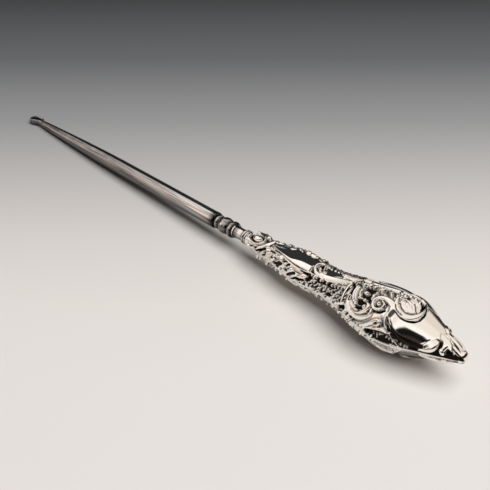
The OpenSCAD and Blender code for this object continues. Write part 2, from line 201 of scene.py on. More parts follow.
def soft_step(q):
    return ease((1 - q) / SOFT_EDGE)


# Shapes of the single forms
ARC_STEPS = 40
BOSS_BEND = 4.0
BOSS_EDGE_POWER = 14
ROOF_START = 0.8
ROOF_STOP = 0.4
FACET_HOLLOW = 0.8
LEAF_BELLY = 0.7
LEAF_END_RISE = 0.65
VEIN = 0.3
VEIN_HALF = 0.2
OUTSIDE = 2.0
PETALS = 5
PETAL_NOTCH = 0.25
FLOWER_CUP = 0.45
FLOWER_FLARE = 0.75
FLOWER_HEART = 0.28


class Relief:
    """Height of the stamped ornament over the plain surface, on a grid of the unrolled shell.

    Places are in millimetres: x along the handle, v round it from its crown line, the near side negative.
    stain is the darkness of the ground, the painted dark reflection that of raised work, and cut tells
    where cuts are made.
    """

    def __init__(self, x, turn):
        self.x = x
        self.v = np.radians(turn) * mean_radius(x) + ORNAMENT_SHIFT
        self.ground = np.zeros_like(x)
        self.height = np.zeros_like(x)
        self.stain = np.zeros_like(x)
        self.cut = np.zeros_like(x)
        self.painted_dark_reflection = np.zeros_like(x)
        self.side = 1
        self.strength = 1.0

    def at(self, point):
        return np.array([point[0], point[1] * self.side])

    def course(self, places):
        return spline([self.at(place) for place in places])

    def near(self, low, high):
        """The rows of the grid between two places along the handle."""
        first, last = np.searchsorted(self.x[:, 0], (low, high))
        return slice(first, last)

    def cover(self, points, half, section):
        """Rows that a band along the points touches, and its section there. half holds its half widths."""
        half = np.atleast_1d(np.asarray(half, float))
        widths = np.interp(np.linspace(0, 1, len(points)), np.linspace(0, 1, len(half)), half)
        rows = self.near(points[:, 0].min() - half.max(), points[:, 0].max() + half.max())
        x, v = self.x[rows], self.v[rows]
        best = np.zeros_like(x)
        for a, b, wa, wb in zip(points[:-1], points[1:], widths[:-1], widths[1:]):
            d = b - a
            t = np.clip(((x - a[0]) * d[0] + (v - a[1]) * d[1]) / max(d @ d, TINY), 0, 1)
            off = np.hypot(x - a[0] - t * d[0], v - a[1] - t * d[1])
            best = np.maximum(best, section(off / (wa + (wb - wa) * t)))
        return rows, best

    def lift(self, rows, rise, cover):
        """Raises a form from the ground. cover runs from 0 off the form to 1 on its top."""
        ground = self.ground[rows]
        form = np.where(cover > 0, ground + (rise * self.strength - ground) * cover, ground)
        self.height[rows] = np.maximum(self.height[rows], form)

    def finished(self):
        """Height with the cuts made, and darkness from 0 to 1: full on stained ground and in the cuts, and
        up to full where a dark reflection is painted.
        """
        height = np.maximum(self.height - CUT_DEPTH * self.cut, LOWEST)
        ground = self.stain * np.clip(1 - (self.height - self.ground) / STAIN_RISE, 0, 1)
        depth = blurred(height, HOLLOW_REACH) - height
        hollow = np.clip((depth - HOLLOW_START) / HOLLOW_DEPTH, 0, 1)
        return height, np.max([ground, hollow, ease(2 * self.cut), self.painted_dark_reflection], axis=0)

    def sink(self, places, half, depth, stain=0.0):
        """Lowers the ground along a broad band, before anything is drawn on it. stain is its darkness."""
        rows, cover = self.cover(self.course(places), half, soft_step)
        self.ground[rows] = np.minimum(self.ground[rows], -depth * cover)
        self.stain[rows] = np.maximum(self.stain[rows], stain * cover)
        self.height = self.ground.copy()

    def clear(self, centre, radius, level):
        """Takes a round field to a level, to draw on it afresh."""
        c = self.at(centre)
        rows = self.near(c[0] - radius, c[0] + radius)
        inside = np.hypot(self.x[rows] - c[0], self.v[rows] - c[1]) < radius
        self.height[rows] = np.where(inside, level, self.height[rows])
        self.stain[rows] = np.where(inside, 1, self.stain[rows])

    def groove(self, places, half):
        """A dark cut along a smooth curve, made after the raised work."""
        rows, cover = self.cover(self.course(places), half, rounded)
        self.cut[rows] = np.maximum(self.cut[rows], cover)

    def paint_dark_reflection(self, places, half, depth=1.0):
        """Paints a dark reflection on raised work along a smooth curve."""
        rows, cover = self.cover(self.course(places), half, soft_step)
        self.painted_dark_reflection[rows] = np.maximum(self.painted_dark_reflection[rows], depth * cover)

    def band(self, places, half, rise, section=rounded):
        """A ridge along a smooth curve. half holds its half widths, from end to end."""
        rows, cover = self.cover(self.course(places), half, section)
        self.lift(rows, rise, cover)

    def arc(self, centre, radius, start, stop, half, rise, section=rounded):
        """A ridge along a round arc, from one angle to another."""
        angle = np.radians(np.linspace(start, stop, ARC_STEPS))
        ring = np.stack([centre[0] + radius * np.cos(angle), centre[1] + radius * np.sin(angle)], -1)
        rows, cover = self.cover(ring * [1, self.side], half, section)
        self.lift(rows, rise, cover)

    def dome(self, centre, along, across, rise, section=rounded):
        c = self.at(centre)
        rows = self.near(c[0] - along, c[0] + along)
        q = np.hypot((self.x[rows] - c[0]) / along, (self.v[rows] - c[1]) / across)
        self.lift(rows, rise, section(q))

    def bead(self, centre, radius, rise):
        self.dome(centre, radius, radius, rise)

    def boss(self, centre, along, far, near, rise, lean):
        """A smooth swelling, flatter than the surface it stands on.

        lean holds how it slopes down along the handle, and across it on the near and the far side.
        """
        c = self.at(centre)
        rows = self.near(c[0] - along, c[0] + along)
        x, v = self.x[rows] - c[0], (self.v[rows] - c[1]) * self.side
        q = np.hypot(x / along, v / np.where(v > 0, far, near))
        bend = (v + np.hypot(v, BOSS_BEND) - BOSS_BEND) / 2
        top = rise - lean[0] * x - lean[1] * v - (lean[2] - lean[1]) * bend
        self.lift(rows, 1, top * np.sqrt(np.clip(1 - q**BOSS_EDGE_POWER, 0, 1)))

    def roof(self, crest, flat, far, near, rise):
        """A smooth ridge: a flat top of the given widths on the crest's near side, and two slopes.

        The far slope is hollow on the unrolled surface, which makes it a flat facet on the round handle.
        """
        crest = np.array(crest) * [1, self.side]
        rows = self.near(crest[0, 0], crest[-1, 0])
        x, v = self.x[rows], self.v[rows]
        line = spline(crest)
        off = (v - np.interp(x, line[:, 0], line[:, 1])) * self.side
        far_off = off / np.interp(x, crest[:, 0], far)
        near_off = (-off - np.interp(x, crest[:, 0], flat)) / near
        q = np.clip(np.where(off > 0, far_off, near_off), 0, 1)
        start = np.clip((x - crest[0, 0]) / ROOF_START, 0, 1)
        stop = np.clip((crest[-1, 0] - x) / ROOF_STOP, 0, 1)
        self.lift(rows, rise, (1 - q) * np.where(off > 0, 1 - FACET_HOLLOW * q, 1) * start * stop)

    def leaf(self, root, tip, half, rise, vein=VEIN, tilt=0.0):
        """A pointed leaf with a sunk vein. tilt raises its edge on the right of the way to the tip."""
        a, b = self.at(root), self.at(tip)
        d = b - a
        length = np.hypot(*d)
        rows = self.near(min(a[0], b[0]) - half, max(a[0], b[0]) + half)
        x, v = self.x[rows] - a[0], self.v[rows] - a[1]
        t = (x * d[0] + v * d[1]) / length**2
        across = (x * d[1] - v * d[0]) / length
        inside = np.clip(t, 0, 1)
        room = half * np.sin(np.pi * inside**LEAF_BELLY)
        q = np.where((t > 0) & (t < 1), np.abs(across) / np.maximum(room, TINY), OUTSIDE)
        swell = LEAF_END_RISE + (1 - LEAF_END_RISE) * np.sin(np.pi * inside)
        sunk = 1 - vein * np.exp(-((across / (VEIN_HALF * half)) ** 2))
        self.lift(rows, rise, rounded(q) * swell * (1 + tilt * across / half) * sunk)

    def flower(self, centre, radius, rise, turned=0.0):
        """A cupped flower with a bead in its middle."""
        c = self.at(centre)
        rows = self.near(c[0] - radius, c[0] + radius)
        x, v = self.x[rows] - c[0], self.v[rows] - c[1]
        r = np.hypot(x, v) / radius
        edge = 1 - PETAL_NOTCH + PETAL_NOTCH * np.cos(PETALS * (np.arctan2(v, x) - turned))
        self.lift(rows, rise, rounded(r / edge) * np.clip(FLOWER_CUP + FLOWER_FLARE * r, 0, 1))
        self.bead(centre, FLOWER_HEART * radius, rise)


def sink_fields(art):
    """Lowered grounds, some of them gone dark, under the flowers and leaves."""
    for art.side in (1, -1):
        art.sink([(36.8, -4.3), (43, -4.3), (50, -4.4)], [1.7, 2.1, 2.1], 0.35, 1.0)
        foliage = [(62, -11.4), (66, -10.8), (70, -9.8), (74, -8), (77.5, -5.6)]
        art.sink(foliage, [1.2, 2.1, 2.1, 1.6, 1.0], 0.4, 1.0)
    art.side = 1
    art.sink([(10, 0), (15, 0.2)], [1.5, 1.8], 0.35, 1.0)
    grip_back = [(19.6, 1.0), (28, 1.2), (37, 1.4), (46, 1.8), (53, 2.2)]
    art.sink(grip_back, [2.0, 4.6, 4.6, 4.2, 3.2], 0.42)
    art.sink([(54, -2), (58, -2.6), (62, -2.4)], [2.6, 4.6, 3.4], 0.4, 1.0)
    art.sink([(60, 1.2), (65, 1.5), (70, 1.5)], [1.6, 2.2, 2.6], 0.35, 0.7)
    art.sink([(53, 6), (60, 7), (68, 7.4), (74, 6.6)], [2.6, 3.8, 3.6, 1.8], 0.4)
    art.sink([(76.4, -6.6), (81, -2.6), (84, -1.9)], [0.9, 1.9, 1.3], 0.3, 1.0)
    art.sink([(77, -6.6), (80, -5), (83, -3.6), (86, -2.3)], [0.8, 1.5, 1.4, 0.6], 0.3, 1.0)
    art.sink([(62, -11.6), (68, -10.8), (74, -8.4), (79, -6)], [1.4, 2.4, 2.2, 1.4], 0.42, 1.0)


# Cuts below the neck's scroll
NECK_CUT_HALF = 0.28
NECK_CUTS = [
    [(12.2, -3.5), (14.2, -3.2), (16, -2.4), (17.2, -1.7)],
    [(16.4, -3.9), (17.6, -3.7)],
    [(19.4, -1.7), (21.4, -1.9)],
    [(19.6, -3.8), (20.1, -3.9)],
]


def draw_neck(art):
    """Oval boss in a ring and a scroll next to the ferrule. The far side's scroll is only begun."""
    ring = [(9.2, -0.8), (10.5, -1.35), (12, -1.6), (13.4, -1.45), (14.5, -0.9), (15.2, -0.2)]
    scroll = [(9.6, -2.6), (11, -2.95), (13, -2.8), (15, -2.1), (16.8, -1.1), (18, -0.1), (18.5, 0.9)]
    for art.side, places in ((1, scroll), (-1, scroll[:4])):
        art.band(ring, [0.2, 0.28, 0.35], 0.5)
        art.band(places, [0.35, 0.55, 0.75, 0.9, 1.0, 0.8], 0.8)
        art.bead((8.6, -0.3), 0.45, 0.45)
    art.side = 1
    stem = [(13.6, -3.6), (15.4, -3.4), (17.4, -2.9), (19.2, -2.35), (21.2, -1.9)]
    art.band(stem, [0.2, 0.4, 0.45, 0.25], 0.6)
    art.band([(14.6, -4.5), (16.6, -4.2), (18.4, -3.6)], [0.2, 0.4, 0.25], 0.4)
    art.flower((19.8, -3.8), 0.95, 0.6)
    art.flower((21.8, -2.7), 0.7, 0.7)
    art.dome((12.3, -0.1), 1.8, 0.95, 0.95, button)
    for places in NECK_CUTS:
        art.groove(places, NECK_CUT_HALF)


def draw_panels(art):
    """Long faceted panel of the grip, and the curl and leaves that close it at the waist."""
    panel = [(19.8, 0), (22, -0.75), (24, -1.15), (26, -1.5),
             (28.8, -1.8), (31, -1.4), (33, -1.05), (36.8, -0.85)]
    panel_flat = [0.1, 0.12, 0.15, 0.2, 0.3, 0.95, 1.3, 1.3]
    panel_far = [1.2, 2.2, 2.8, 3.2, 3.6, 3.2, 2.8, 2.6]
    art.roof(panel, panel_flat, panel_far, 0.35, 1.15)
    border = [(21.4, -1.5), (24, -1.75), (26, -2.1), (28, -2.55), (30, -2.9),
              (32.4, -3.05), (35, -2.75), (37, -2.3), (40, -2.4)]
    art.band(border, [0.2, 0.3, 0.35, 0.35, 0.25], 0.7)
    leaf = [(39.2, -1), (41.5, -1.1), (43.5, -0.95), (46, -0.65), (48.5, -0.3), (52.4, 0.1)]
    leaf_flat = [1.0, 1.2, 1.3, 1.2, 0.9, 0.15]
    leaf_far = [2.2, 2.8, 2.8, 2.4, 1.9, 0.9]
    art.roof(leaf, leaf_flat, leaf_far, 0.3, 1.05)
    art.band([(38.6, 0.1), (38.7, -0.4), (39.4, -0.8), (40.6, -1.05)], [0.3, 0.35, 0.25], 0.8)
    curl = [(40.2, -0.1), (39.8, 0.8), (38.9, 1.35), (37.9, 1.15), (37.2, 0.4),
            (37.2, -0.6), (38, -1.3), (39.6, -1.65), (41.6, -1.65)]
    art.band(curl, [0.3, 0.55, 0.6, 0.6, 0.6, 0.65, 0.75, 0.5], 1.15)
    art.groove([(38, 0.45), (38.5, 0.65), (39, 0.35)], 0.3)
    far_leaf = [(45.4, 1.7), (47, 1.85), (49, 1.85), (51, 1.9), (53.8, 2.1)]
    art.roof(far_leaf, [0.1] * len(far_leaf), [0.5, 0.6, 0.6, 0.6, 0.4], 1.0, 0.45)


def draw_collar(art):
    """Rib at the start of the bulb, and the low one that runs on from it along the far side."""
    rib = [(53.2, 1.6), (51.9, 0.5), (51.1, -1), (50.9, -2.6),
           (51.1, -4.4), (51.3, -6), (50.8, -7.4), (50.1, -9.4)]
    art.band(rib, [0.3, 0.5, 0.55, 0.55, 0.5, 0.5], 0.85, button)
    far_rib = [(52.6, 2.5), (55, 3), (58, 3.1), (61, 3.4), (64, 4.2), (67, 4.9)]
    art.band(far_rib, [0.2, 0.6, 0.7, 0.6, 0.5, 0.2], 0.3)


# Medallion: its middle, the radius of its ring, and that of the field cleared for it
MEDALLION_AT = (69.8, 1.5)
MEDALLION_R = 3.55
MEDALLION_FIELD_R = 3.65


def draw_bulb_scrolls(art, boss_near):
    """Big C scroll, volute and medallion round the pear-shaped boss."""
    art.boss((73, -0.4), 7.4, 10, boss_near, 0.6, (0.06, 0.1, -0.05))
    # Painted dark reflections along the boss's lower edge and on its rim next to the volute
    boss_edge = [(68.9, -5.9), (70.6, -6.9), (72.6, -6.9), (75, -6.2), (77.5, -4.9)]
    art.paint_dark_reflection(boss_edge, [0.6, 1.4, 1.5, 1.4, 0.6])
    art.paint_dark_reflection([(67.7, -2.7), (67.5, -3.7)], 0.7, 0.93)
    c_scroll = [(53.1, -3.4), (53.1, -5), (54, -6.5), (55.5, -7.6), (57.5, -8.1),
                (59.6, -7.8), (61.2, -7), (62, -5.8), (61.8, -4.7)]
    art.band(c_scroll, [0.3, 0.55, 0.75, 0.8, 0.6, 0.3], 0.75, button)
    inner = [(55.4, -6.7), (57.2, -6.95), (58.8, -6.6), (60, -5.8),
             (60.6, -4.9), (60.4, -4.1), (59.8, -3.7)]
    art.band(inner, [0.12, 0.35, 0.6, 0.65, 0.5, 0.25], 0.95, button)
    outer = [(55.5, -9.5), (58.4, -9.9), (61.2, -9.3), (62.8, -8.2), (63.9, -7.1),
             (64.8, -6.45), (65.5, -6.75), (65.3, -7.6), (64.5, -7.9)]
    art.band(outer, [0.2, 0.5, 0.7, 0.6, 0.45, 0.35, 0.25], 0.95, button)
    volute = [(67.4, -2), (66.3, -1.2), (64.8, -0.75), (63.2, -0.8), (61.9, -1.4),
              (61.25, -2.5), (61.5, -3.5), (62.4, -4.15), (63.5, -4.1),
              (64.4, -3.5), (64.6, -2.6), (64.1, -1.95), (63.4, -1.8)]
    art.band(volute, [0.6, 0.95, 0.75, 0.55, 0.5, 0.48, 0.45, 0.42, 0.36, 0.3, 0.2], 1.0, button)
    art.bead((62.8, -2.6), 0.7, 0.95)
    boss_rim = [(67.2, -2.3), (66.7, -3.3), (66.6, -4.5), (66.9, -5.6), (67.6, -6.6), (68.8, -7.3)]
    art.band(boss_rim, [0.4, 0.45, 0.4, 0.3], 0.75, button)
    art.clear(MEDALLION_AT, MEDALLION_FIELD_R, 0.5)
    art.arc(MEDALLION_AT, MEDALLION_R, -170, 85, [0.5, 0.9, 0.9, 0.7, 0.5, 0.3], 1.2, button)


# Curled petals of the big rose: middle, half widths and start angle, then the radius and end angle of each
ROSE_AT = (57.5, -1.3)
PETAL_HALF = [0.15, 0.3, 0.32, 0.25, 0.12]
PETAL_START = 165
ROSE_PETALS = [(3.9, 250), (3.2, 240), (1.9, 300)]

# Domes between the petals: place, half length and half width
ROSE_DOMES = [
    ((57.5, -1.4), 1.0, 0.6),
    ((55.6, -0.3), 0.6, 0.4),
    ((58.5, -3.4), 0.6, 0.5),
    ((55.3, -4.3), 0.7, 0.42),
    ((59.2, -4.9), 0.5, 0.7),
    ((56.8, -6.3), 0.8, 0.35),
    ((56.4, -3.3), 0.45, 0.4),
    ((57.3, -5), 0.4, 0.35),
    ((60.3, -2.2), 0.4, 0.6),
]

# Small leaves beside the roses: root and tip
ROSE_LEAVES = [
    ((54, 0.2), (55.8, 1.9)),
    ((57.8, 0.6), (59, 2.6)),
    ((62, 3), (64.4, 0.6)),
    ((65, 3), (65.6, 0.9)),
    ((59.4, -0.3), (60.9, -3.2)),
    ((64.6, 4.1), (66.3, 2.8)),
]
ROSE_BEADS = [(61.2, 0.5), (60.3, -0.3), (63.6, 1.6), (62.6, 0.2), (65.6, 0.5), (66.4, 0.9), (67.4, 0.1)]

# Spray of leaves in the medallion, and the beads that close its ring
SPRAY_ROOT = (67.5, 2.9)
SPRAY_TIPS = [(72.3, 3.0), (72.5, 1.2), (71.6, -0.4), (69.9, -1.1), (68.1, -0.9)]
MEDALLION_BEADS = [(70.6, 4.2), (69.2, 4.3), (67.9, 4), (66.9, 3.1), (66.6, 1.9)]

# Cuts between the scrolls and flowers of the bulb: their course and half width
BULB_CUTS = [
    ([(51.9, -0.4), (52.3, -2), (52.2, -3.6)], 0.4),
    ([(53.2, 0.6), (54, 0.1)], 0.35),
    ([(58.2, -2.5), (58.8, -2)], 0.4),
    ([(55.4, 0.2), (56.6, -0.1), (58, 0)], 0.25),
    ([(54.9, -5), (55.6, -5.2)], 0.3),
    ([(56.4, -5.6), (57.6, -5.9), (58.6, -5.6)], 0.35),
    ([(57.4, -4.8), (58.2, -4.6)], 0.3),
    ([(61.2, -6.3), (61.5, -5.6)], 0.22),
    ([(63.4, -4.75), (64.4, -4.4), (65.2, -3.5)], 0.3),
    ([(68.1, -2.35), (70, -2.8), (72, -2.35), (73.5, -1.3), (74.1, 0), (73.9, 1.6), (73.1, 3.2), (72, 4.3)],
     [0.12, 0.2, 0.25, 0.2]),
    ([(67, -1), (68.2, -1.9), (70, -2.2)], 0.1),
    ([(67.6, 0.2), (68.6, -0.6), (70.2, -0.9), (71.6, -0.2), (72.3, 0.9)], [0.1, 0.16, 0.16, 0.1]),
    ([(72.6, 2), (72.1, 3.4), (70.9, 4.2)], [0.2, 0.45, 0.3]),
    ([(70.3, 2.3), (71.2, 1.6), (71.9, 0.9)], 0.12),
    ([(68.1, 1.7), (68.6, 1.5)], 0.16),
    ([(64.4, -7.5), (64.9, -7.3)], 0.25),
    ([(67.6, -6.2), (69.4, -7.5), (71.6, -8), (74, -7.6), (76, -6.4)], [0.15, 0.3, 0.3, 0.2]),
    ([(62.3, 2.6), (63, 2.4)], 0.25),
]


def draw_bulb_flowers(art):
    """Roses, beads and small leaves in the scrolls of the bulb, and the medallion's spray of leaves."""
    for radius, stop in ROSE_PETALS:
        art.arc(ROSE_AT, radius, PETAL_START, stop, PETAL_HALF, 0.75)
    art.arc((57.9, -4.3), 2.0, 185, 330, [0.15, 0.35, 0.35, 0.12], 0.75)
    for centre, along, across in ROSE_DOMES:
        art.dome(centre, along, across, 0.95)
    art.bead((56.6, 1.2), 0.8, 0.85)
    art.flower((60.3, 1.6), 1.2, 0.6, 0.4)
    for root, tip in ROSE_LEAVES:
        art.leaf(root, tip, 0.5, 0.6)
    for centre in ROSE_BEADS:
        art.bead(centre, 0.48, 0.75)
    for centre in MEDALLION_BEADS:
        art.bead(centre, 0.6, 1.0)
    for tip in SPRAY_TIPS:
        art.leaf(SPRAY_ROOT, tip, 0.85, 1.0)
    for places, half in BULB_CUTS:
        art.groove(places, half)


# Comb of small teeth below the boss: where it starts, its step and its count
COMB_AT = (69, -7.9)
COMB_STEP = (0.42, -0.25)
COMB_TEETH = 8

# Row of thin leaves below the boss: the same, and the limits of what is drawn at random for each leaf
THIN_LEAF_AT = (64.4, -9.7)
THIN_LEAF_STEP = (0.95, 0.2)
THIN_LEAVES = 11
THIN_LEAF_JITTER_X = (-0.4, 0.4)
THIN_LEAF_JITTER_V = (-0.3, 0.3)
THIN_LEAF_ALONG = (-2, 0.8)
THIN_LEAF_ACROSS = (-2.4, -1.2)
THIN_LEAF_HALF = (0.2, 0.4)
THIN_LEAF_RISE = (-0.3, 0)
FOLIAGE_SEED = 3


def draw_bulb_foliage(art):
    """Crescent, comb, thin leaves and two curls between the boss and the seam."""
    art.band([(63.9, -9.2), (65.5, -8.5), (67, -8.05), (68.4, -8)], [0.2, 0.5, 0.5, 0.25], 0.8)
    for i in range(COMB_TEETH):
        x, v = COMB_AT[0] + COMB_STEP[0] * i, COMB_AT[1] + COMB_STEP[1] * i
        art.band([(x, v), (x + 0.4, v - 0.35), (x + 0.65, v - 0.85)], [0.17, 0.14, 0.08], 0.4)
    rng = np.random.default_rng(FOLIAGE_SEED)
    for i in range(THIN_LEAVES):
        x = THIN_LEAF_AT[0] + THIN_LEAF_STEP[0] * i + rng.uniform(*THIN_LEAF_JITTER_X)
        v = THIN_LEAF_AT[1] + THIN_LEAF_STEP[1] * i + rng.uniform(*THIN_LEAF_JITTER_V)
        tip = x + rng.uniform(*THIN_LEAF_ALONG), v + rng.uniform(*THIN_LEAF_ACROSS)
        art.leaf((x, v), tip, rng.uniform(*THIN_LEAF_HALF), rng.uniform(*THIN_LEAF_RISE), 0)
    art.band([(62.4, -11.2), (63.2, -11.6), (63.6, -12.2), (63, -12.6)], [0.15, 0.4, 0.35, 0.2], 0.5)
    art.band([(69.4, -11), (70.6, -10.9), (71.6, -10.4), (71.4, -9.8)], [0.15, 0.35, 0.35, 0.15], 0.4)


def draw_far_bulb(art):
    """Far side of the bulb: leaves and scrolls in the manner of the near side."""
    art.side = -1
    art.strength = FAR_STRENGTH
    scroll = [(55.5, -6.2), (58.6, -7.6), (62, -8.4), (65, -8.2), (67.2, -7.2), (67.6, -6.2), (66.8, -5.8)]
    art.band(scroll, [0.2, 0.5, 0.65, 0.55, 0.4, 0.2], 0.4)
    art.band([(54.5, -8.4), (58, -9.8), (61.5, -10.4), (64, -10)], [0.2, 0.5, 0.6, 0.25], 0.5)
    draw_bulb_foliage(art)
    art.side = art.strength = 1


# Cuts between the long leaves of the tip, and their half widths
CAP_CUT_HALF = [0.1, 0.26, 0.12]
CAP_CUTS = [
    [(82.4, 1.1), (84.2, 0.7), (86.2, 0.1)],
    [(84.2, -0.4), (85.6, -0.7), (87, -0.8)],
    [(82.4, 2.7), (84.4, 2.1), (86.2, 1.5)],
]


def draw_cap(art):
    """Overlapping leaves that wrap the tip."""
    art.leaf((80.9, -1.3), (76.5, -6.9), 1.6, 0.8, vein=0.12, tilt=-0.7)
    fold = [(80.2, 0.5), (81.2, 0.1), (82.4, -0.3), (83.4, -0.6), (84.4, -1.1)]
    art.band(fold, [0.2, 0.8, 0.95, 0.75, 0.2], 0.7, button)
    art.band([(82.3, -0.1), (82.6, -1.2), (82.5, -2.2)], [0.9, 0.8, 0.6], 0.75, button)
    art.dome((82.4, -2.8), 0.9, 0.95, 0.95)
    art.groove([(81.4, -1.6), (81.4, -2.8), (81.4, -4)], [0.12, 0.2, 0.3])
    art.leaf((80.6, 1.7), (86.9, 0.6), 0.9, 0.5, vein=0.6)
    art.leaf((81.6, 3.3), (86.6, 1.9), 0.8, 0.4, vein=0.6)
    art.leaf((81, 2.6), (77.6, 6.6), 1.1, 0.6)
    # Painted dark reflection on the near underside of the tip
    art.paint_dark_reflection([(84.6, -2.3), (86, -1.8), (87.4, -1.1)], [0.6, 0.7, 0.6])
    for places in CAP_CUTS:
        art.groove(places, CAP_CUT_HALF)


# Leaves beside the grip: root, tip, half width, rise and depth of the vein
SIDE_LEAVES = [
    ((31, -3.8), (28.8, -5.3), 0.7, 0.85, 0),
    ((36.2, -3.5), (32.4, -5.3), 0.75, 0.9, 0),
    ((36.4, -5.4), (34.2, -7.2), 0.5, 0.6, VEIN),
    ((33.8, -5.8), (32, -7.4), 0.45, 0.6, VEIN),
    ((31.6, -5.9), (29, -7.3), 0.45, 0.6, VEIN),
    ((27.6, -5.2), (25.6, -6.6), 0.45, 0.4, VEIN),
]

# Cuts between the leaves beside the grip: their course and half width
SIDE_CUTS = [
    ([(21.9, -3.2), (22.6, -3.3)], 0.28),
    ([(23.1, -4.5), (24.2, -4.5), (25.3, -4)], 0.63),
    ([(23.2, -5.5), (24.1, -5.6)], 0.42),
    ([(26.2, -3.2), (27.2, -2.9)], 0.28),
    ([(28.7, -3.4), (28.1, -4)], 0.35),
    ([(27.4, -4.9), (28.4, -5.3)], 0.28),
    ([(31.3, -4.9), (30, -5.6), (28.4, -6.8)], 0.42),
    ([(32.3, -5.9), (31.4, -6.5), (30.5, -7.2)], 0.35),
    ([(34.8, -5.4), (33.6, -5.9), (32.5, -6.2)], 0.39),
    ([(35.6, -6.3), (34.6, -7.4)], 0.42),
    ([(33.6, -7), (32.8, -7.6)], 0.35),
    ([(36.4, -4.4), (37.2, -5.4), (36.8, -6.4)], 0.35),
    ([(33.6, -3.1), (35, -3.05), (37, -2.75)], 0.28),
    ([(43.8, -6.6), (43.2, -7.3)], 0.28),
    ([(47.8, -6.2), (47.4, -7.1)], 0.28),
    ([(40.6, -6.4), (40, -7)], 0.28),
    ([(50.9, -7.2), (51.7, -7.2)], 0.63),
    ([(50.9, -8.4), (50.5, -9.1)], 0.49),
]

# Bed of small flowers: start and end, steps and counts along and across, and limits of the random draws
BED_AT = (37.4, -2.75)
BED_END = 50.3
BED_STEP = (1.15, -1.02)
BED_STAGGER = 0.57
BED_COUNT = (12, 4)
BED_JITTER_X = (-0.35, 0.35)
BED_JITTER_V = (-0.3, 0.3)
BED_BEAD_R = (0.42, 0.68)
BED_BEAD_RISE = (0.5, 1.0)
BED_CUT_HALF = (0.12, 0.34)

# Low bumps on the far side of the grip: where they start, their step and count, and the same limits
FAR_BUMP_AT = (22.6, 4.4)
FAR_BUMP_STEP = 1.9
FAR_BUMPS = 8
FAR_BUMP_JITTER_X = (-0.5, 0.5)
FAR_BUMP_JITTER_V = (-0.6, 0.6)
FAR_BUMP_ALONG = (0.7, 1.4)
FAR_BUMP_ACROSS = (0.6, 1.1)
FAR_BUMP_RISE = (0, 0.5)
FLOWER_SEED = 7


def draw_side_flowers(art):
    """Leaves, then a dense bed of small flowers, along both sides of the grip, and bumps on the far one."""
    rng = np.random.default_rng(FLOWER_SEED)
    curl = [(21.9, -4.4), (23.2, -4), (24.7, -3.6), (25.5, -2.9), (24.8, -2.4), (23.6, -2.4)]
    for art.side, art.strength in ((1, 1), (-1, FAR_STRENGTH)):
        art.band(curl, [0.2, 0.5, 0.75, 0.8, 0.4], 0.95)
        art.flower((28.2, -3.9), 1.3, 0.75)
        for leaf in SIDE_LEAVES:
            art.leaf(*leaf)
        for i in range(BED_COUNT[0]):
            for j in range(BED_COUNT[1]):
                x = BED_AT[0] + BED_STEP[0] * i + BED_STAGGER * (j % 2) + rng.uniform(*BED_JITTER_X)
                v = BED_AT[1] + BED_STEP[1] * j + rng.uniform(*BED_JITTER_V)
                if x < BED_END:
                    art.bead((x, v), rng.uniform(*BED_BEAD_R), rng.uniform(*BED_BEAD_RISE))
                    art.groove([(x + 0.5, v + 0.1), (x + 0.25, v - 0.5)], rng.uniform(*BED_CUT_HALF))
        for places, half in SIDE_CUTS:
            art.groove(places, half)
    art.side = art.strength = 1
    for i in range(FAR_BUMPS):
        x = FAR_BUMP_AT[0] + FAR_BUMP_STEP * i + rng.uniform(*FAR_BUMP_JITTER_X)
        v = FAR_BUMP_AT[1] + rng.uniform(*FAR_BUMP_JITTER_V)
        along = rng.uniform(*FAR_BUMP_ALONG)
        across = rng.uniform(*FAR_BUMP_ACROSS)
        art.dome((x, v), along, across, rng.uniform(*FAR_BUMP_RISE))


# Ragged edge along the seam: places of its bumps on the grip and the bulb, and limits of the random draws
RUFFLE_X = np.concatenate([np.arange(13, 52, 2.4), np.arange(52.5, 64, 0.75)])
RUFFLE_JITTER = (-0.4, 0.4)
RUFFLE_FROM_SEAM = (0.7, 2.2)
RUFFLE_BEAD_R = (0.4, 0.7)
RUFFLE_CUT_HALF = (0.2, 0.42)
RUFFLE_SEED = 5

# For the near and the far side: the rise of the bumps on the neck, and past its end
RUFFLE_RISES = ((1, 0.9, 0.5), (-1, 0.2, 0.2))
NECK_END = 20


def draw_ruffle(art):
    """Ragged edge of small bumps and holes on both sides of the seam, closer together on the bulb."""
    rng = np.random.default_rng(RUFFLE_SEED)
    for art.side, neck_rise, rise in RUFFLE_RISES:
        for place in RUFFLE_X:
            x = place + rng.uniform(*RUFFLE_JITTER)
            v = ORNAMENT_SHIFT - 0.5 * math.pi * mean_radius(x) + rng.uniform(*RUFFLE_FROM_SEAM)
            art.bead((x, v), rng.uniform(*RUFFLE_BEAD_R), neck_rise if x < NECK_END else rise)
            art.groove([(x + 0.6, v - 0.1), (x + 0.8, v + 0.4)], rng.uniform(*RUFFLE_CUT_HALF))
    art.side = 1


def ornament(x, turn, boss_near, seam_fade):
    """Height, and tarnish with painted dark reflections, of the stamped ornament, which dies out towards
    the seam.
    """
    art = Relief(x, turn)
    sink_fields(art)
    draw_neck(art)
    draw_panels(art)
    draw_collar(art)
    draw_bulb_scrolls(art, boss_near)
    draw_bulb_flowers(art)
    draw_bulb_foliage(art)
    draw_far_bulb(art)
    draw_cap(art)
    draw_side_flowers(art)
    height, tarnish_and_painted_reflection = art.finished()
    mouth = ease((x - MOUTH_X) / MOUTH_FADE)
    ends = mouth * ease((TIP_X - x) / TIP_FADE)
    from_seam = 90 - np.abs(turn)
    height = height * ends * ease(from_seam / np.where(height > 0, seam_fade, SUNK_FADE))
    tarnish_and_painted_reflection = tarnish_and_painted_reflection * mouth * ease(from_seam / max(RELIEF_FADE, seam_fade / 2))
    edging = Relief(x, turn)
    draw_ruffle(edging)
    edge_height, edge_tarnish = edging.finished()
    edge_fade = ends * ease(from_seam / RELIEF_FADE)
    return height + edge_height * edge_fade, np.maximum(tarnish_and_painted_reflection, edge_tarnish * edge_fade)


